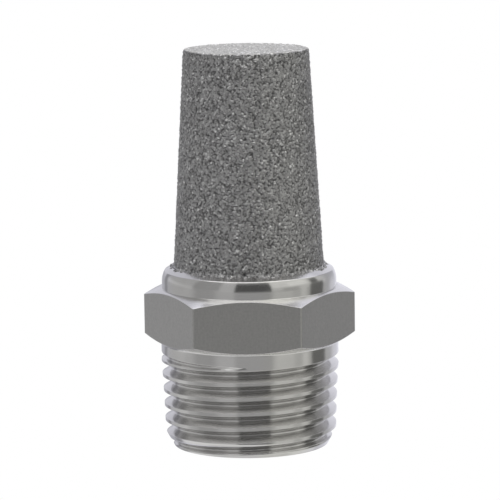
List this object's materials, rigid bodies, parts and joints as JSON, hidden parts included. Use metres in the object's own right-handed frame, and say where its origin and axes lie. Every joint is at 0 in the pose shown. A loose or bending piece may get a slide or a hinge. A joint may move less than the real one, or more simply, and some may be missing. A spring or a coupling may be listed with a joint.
{
  "type": "pneumatic muffler",
  "caption": "Pneumatic exhaust muffler: stainless hexagonal body with a male taper pipe thread, and a closed porous sintered cone pressed into its collar.",
  "frame": {"origin": "centre of the thread's end face, at the bottom of the part", "axes": "+Z along the thread's axis from the end face towards the cone; -Y square to one flat of the hexagon; +X through a corner of the hexagon"},
  "size_m": [0.0254, 0.022, 0.0477],
  "materials": {
    "turned_stainless": "turned 316L stainless bar, fine lathe marks on the round surfaces, drawn flats on the hexagon",
    "sintered_stainless": "matt sintered 316L powder, grains of about 0.3 mm, flat top pressed smoother"
  },
  "bodies": {
    "root": {"threaded_body": "turned_stainless", "porous_cone": "sintered_stainless"}
  },
  "joints": []
}
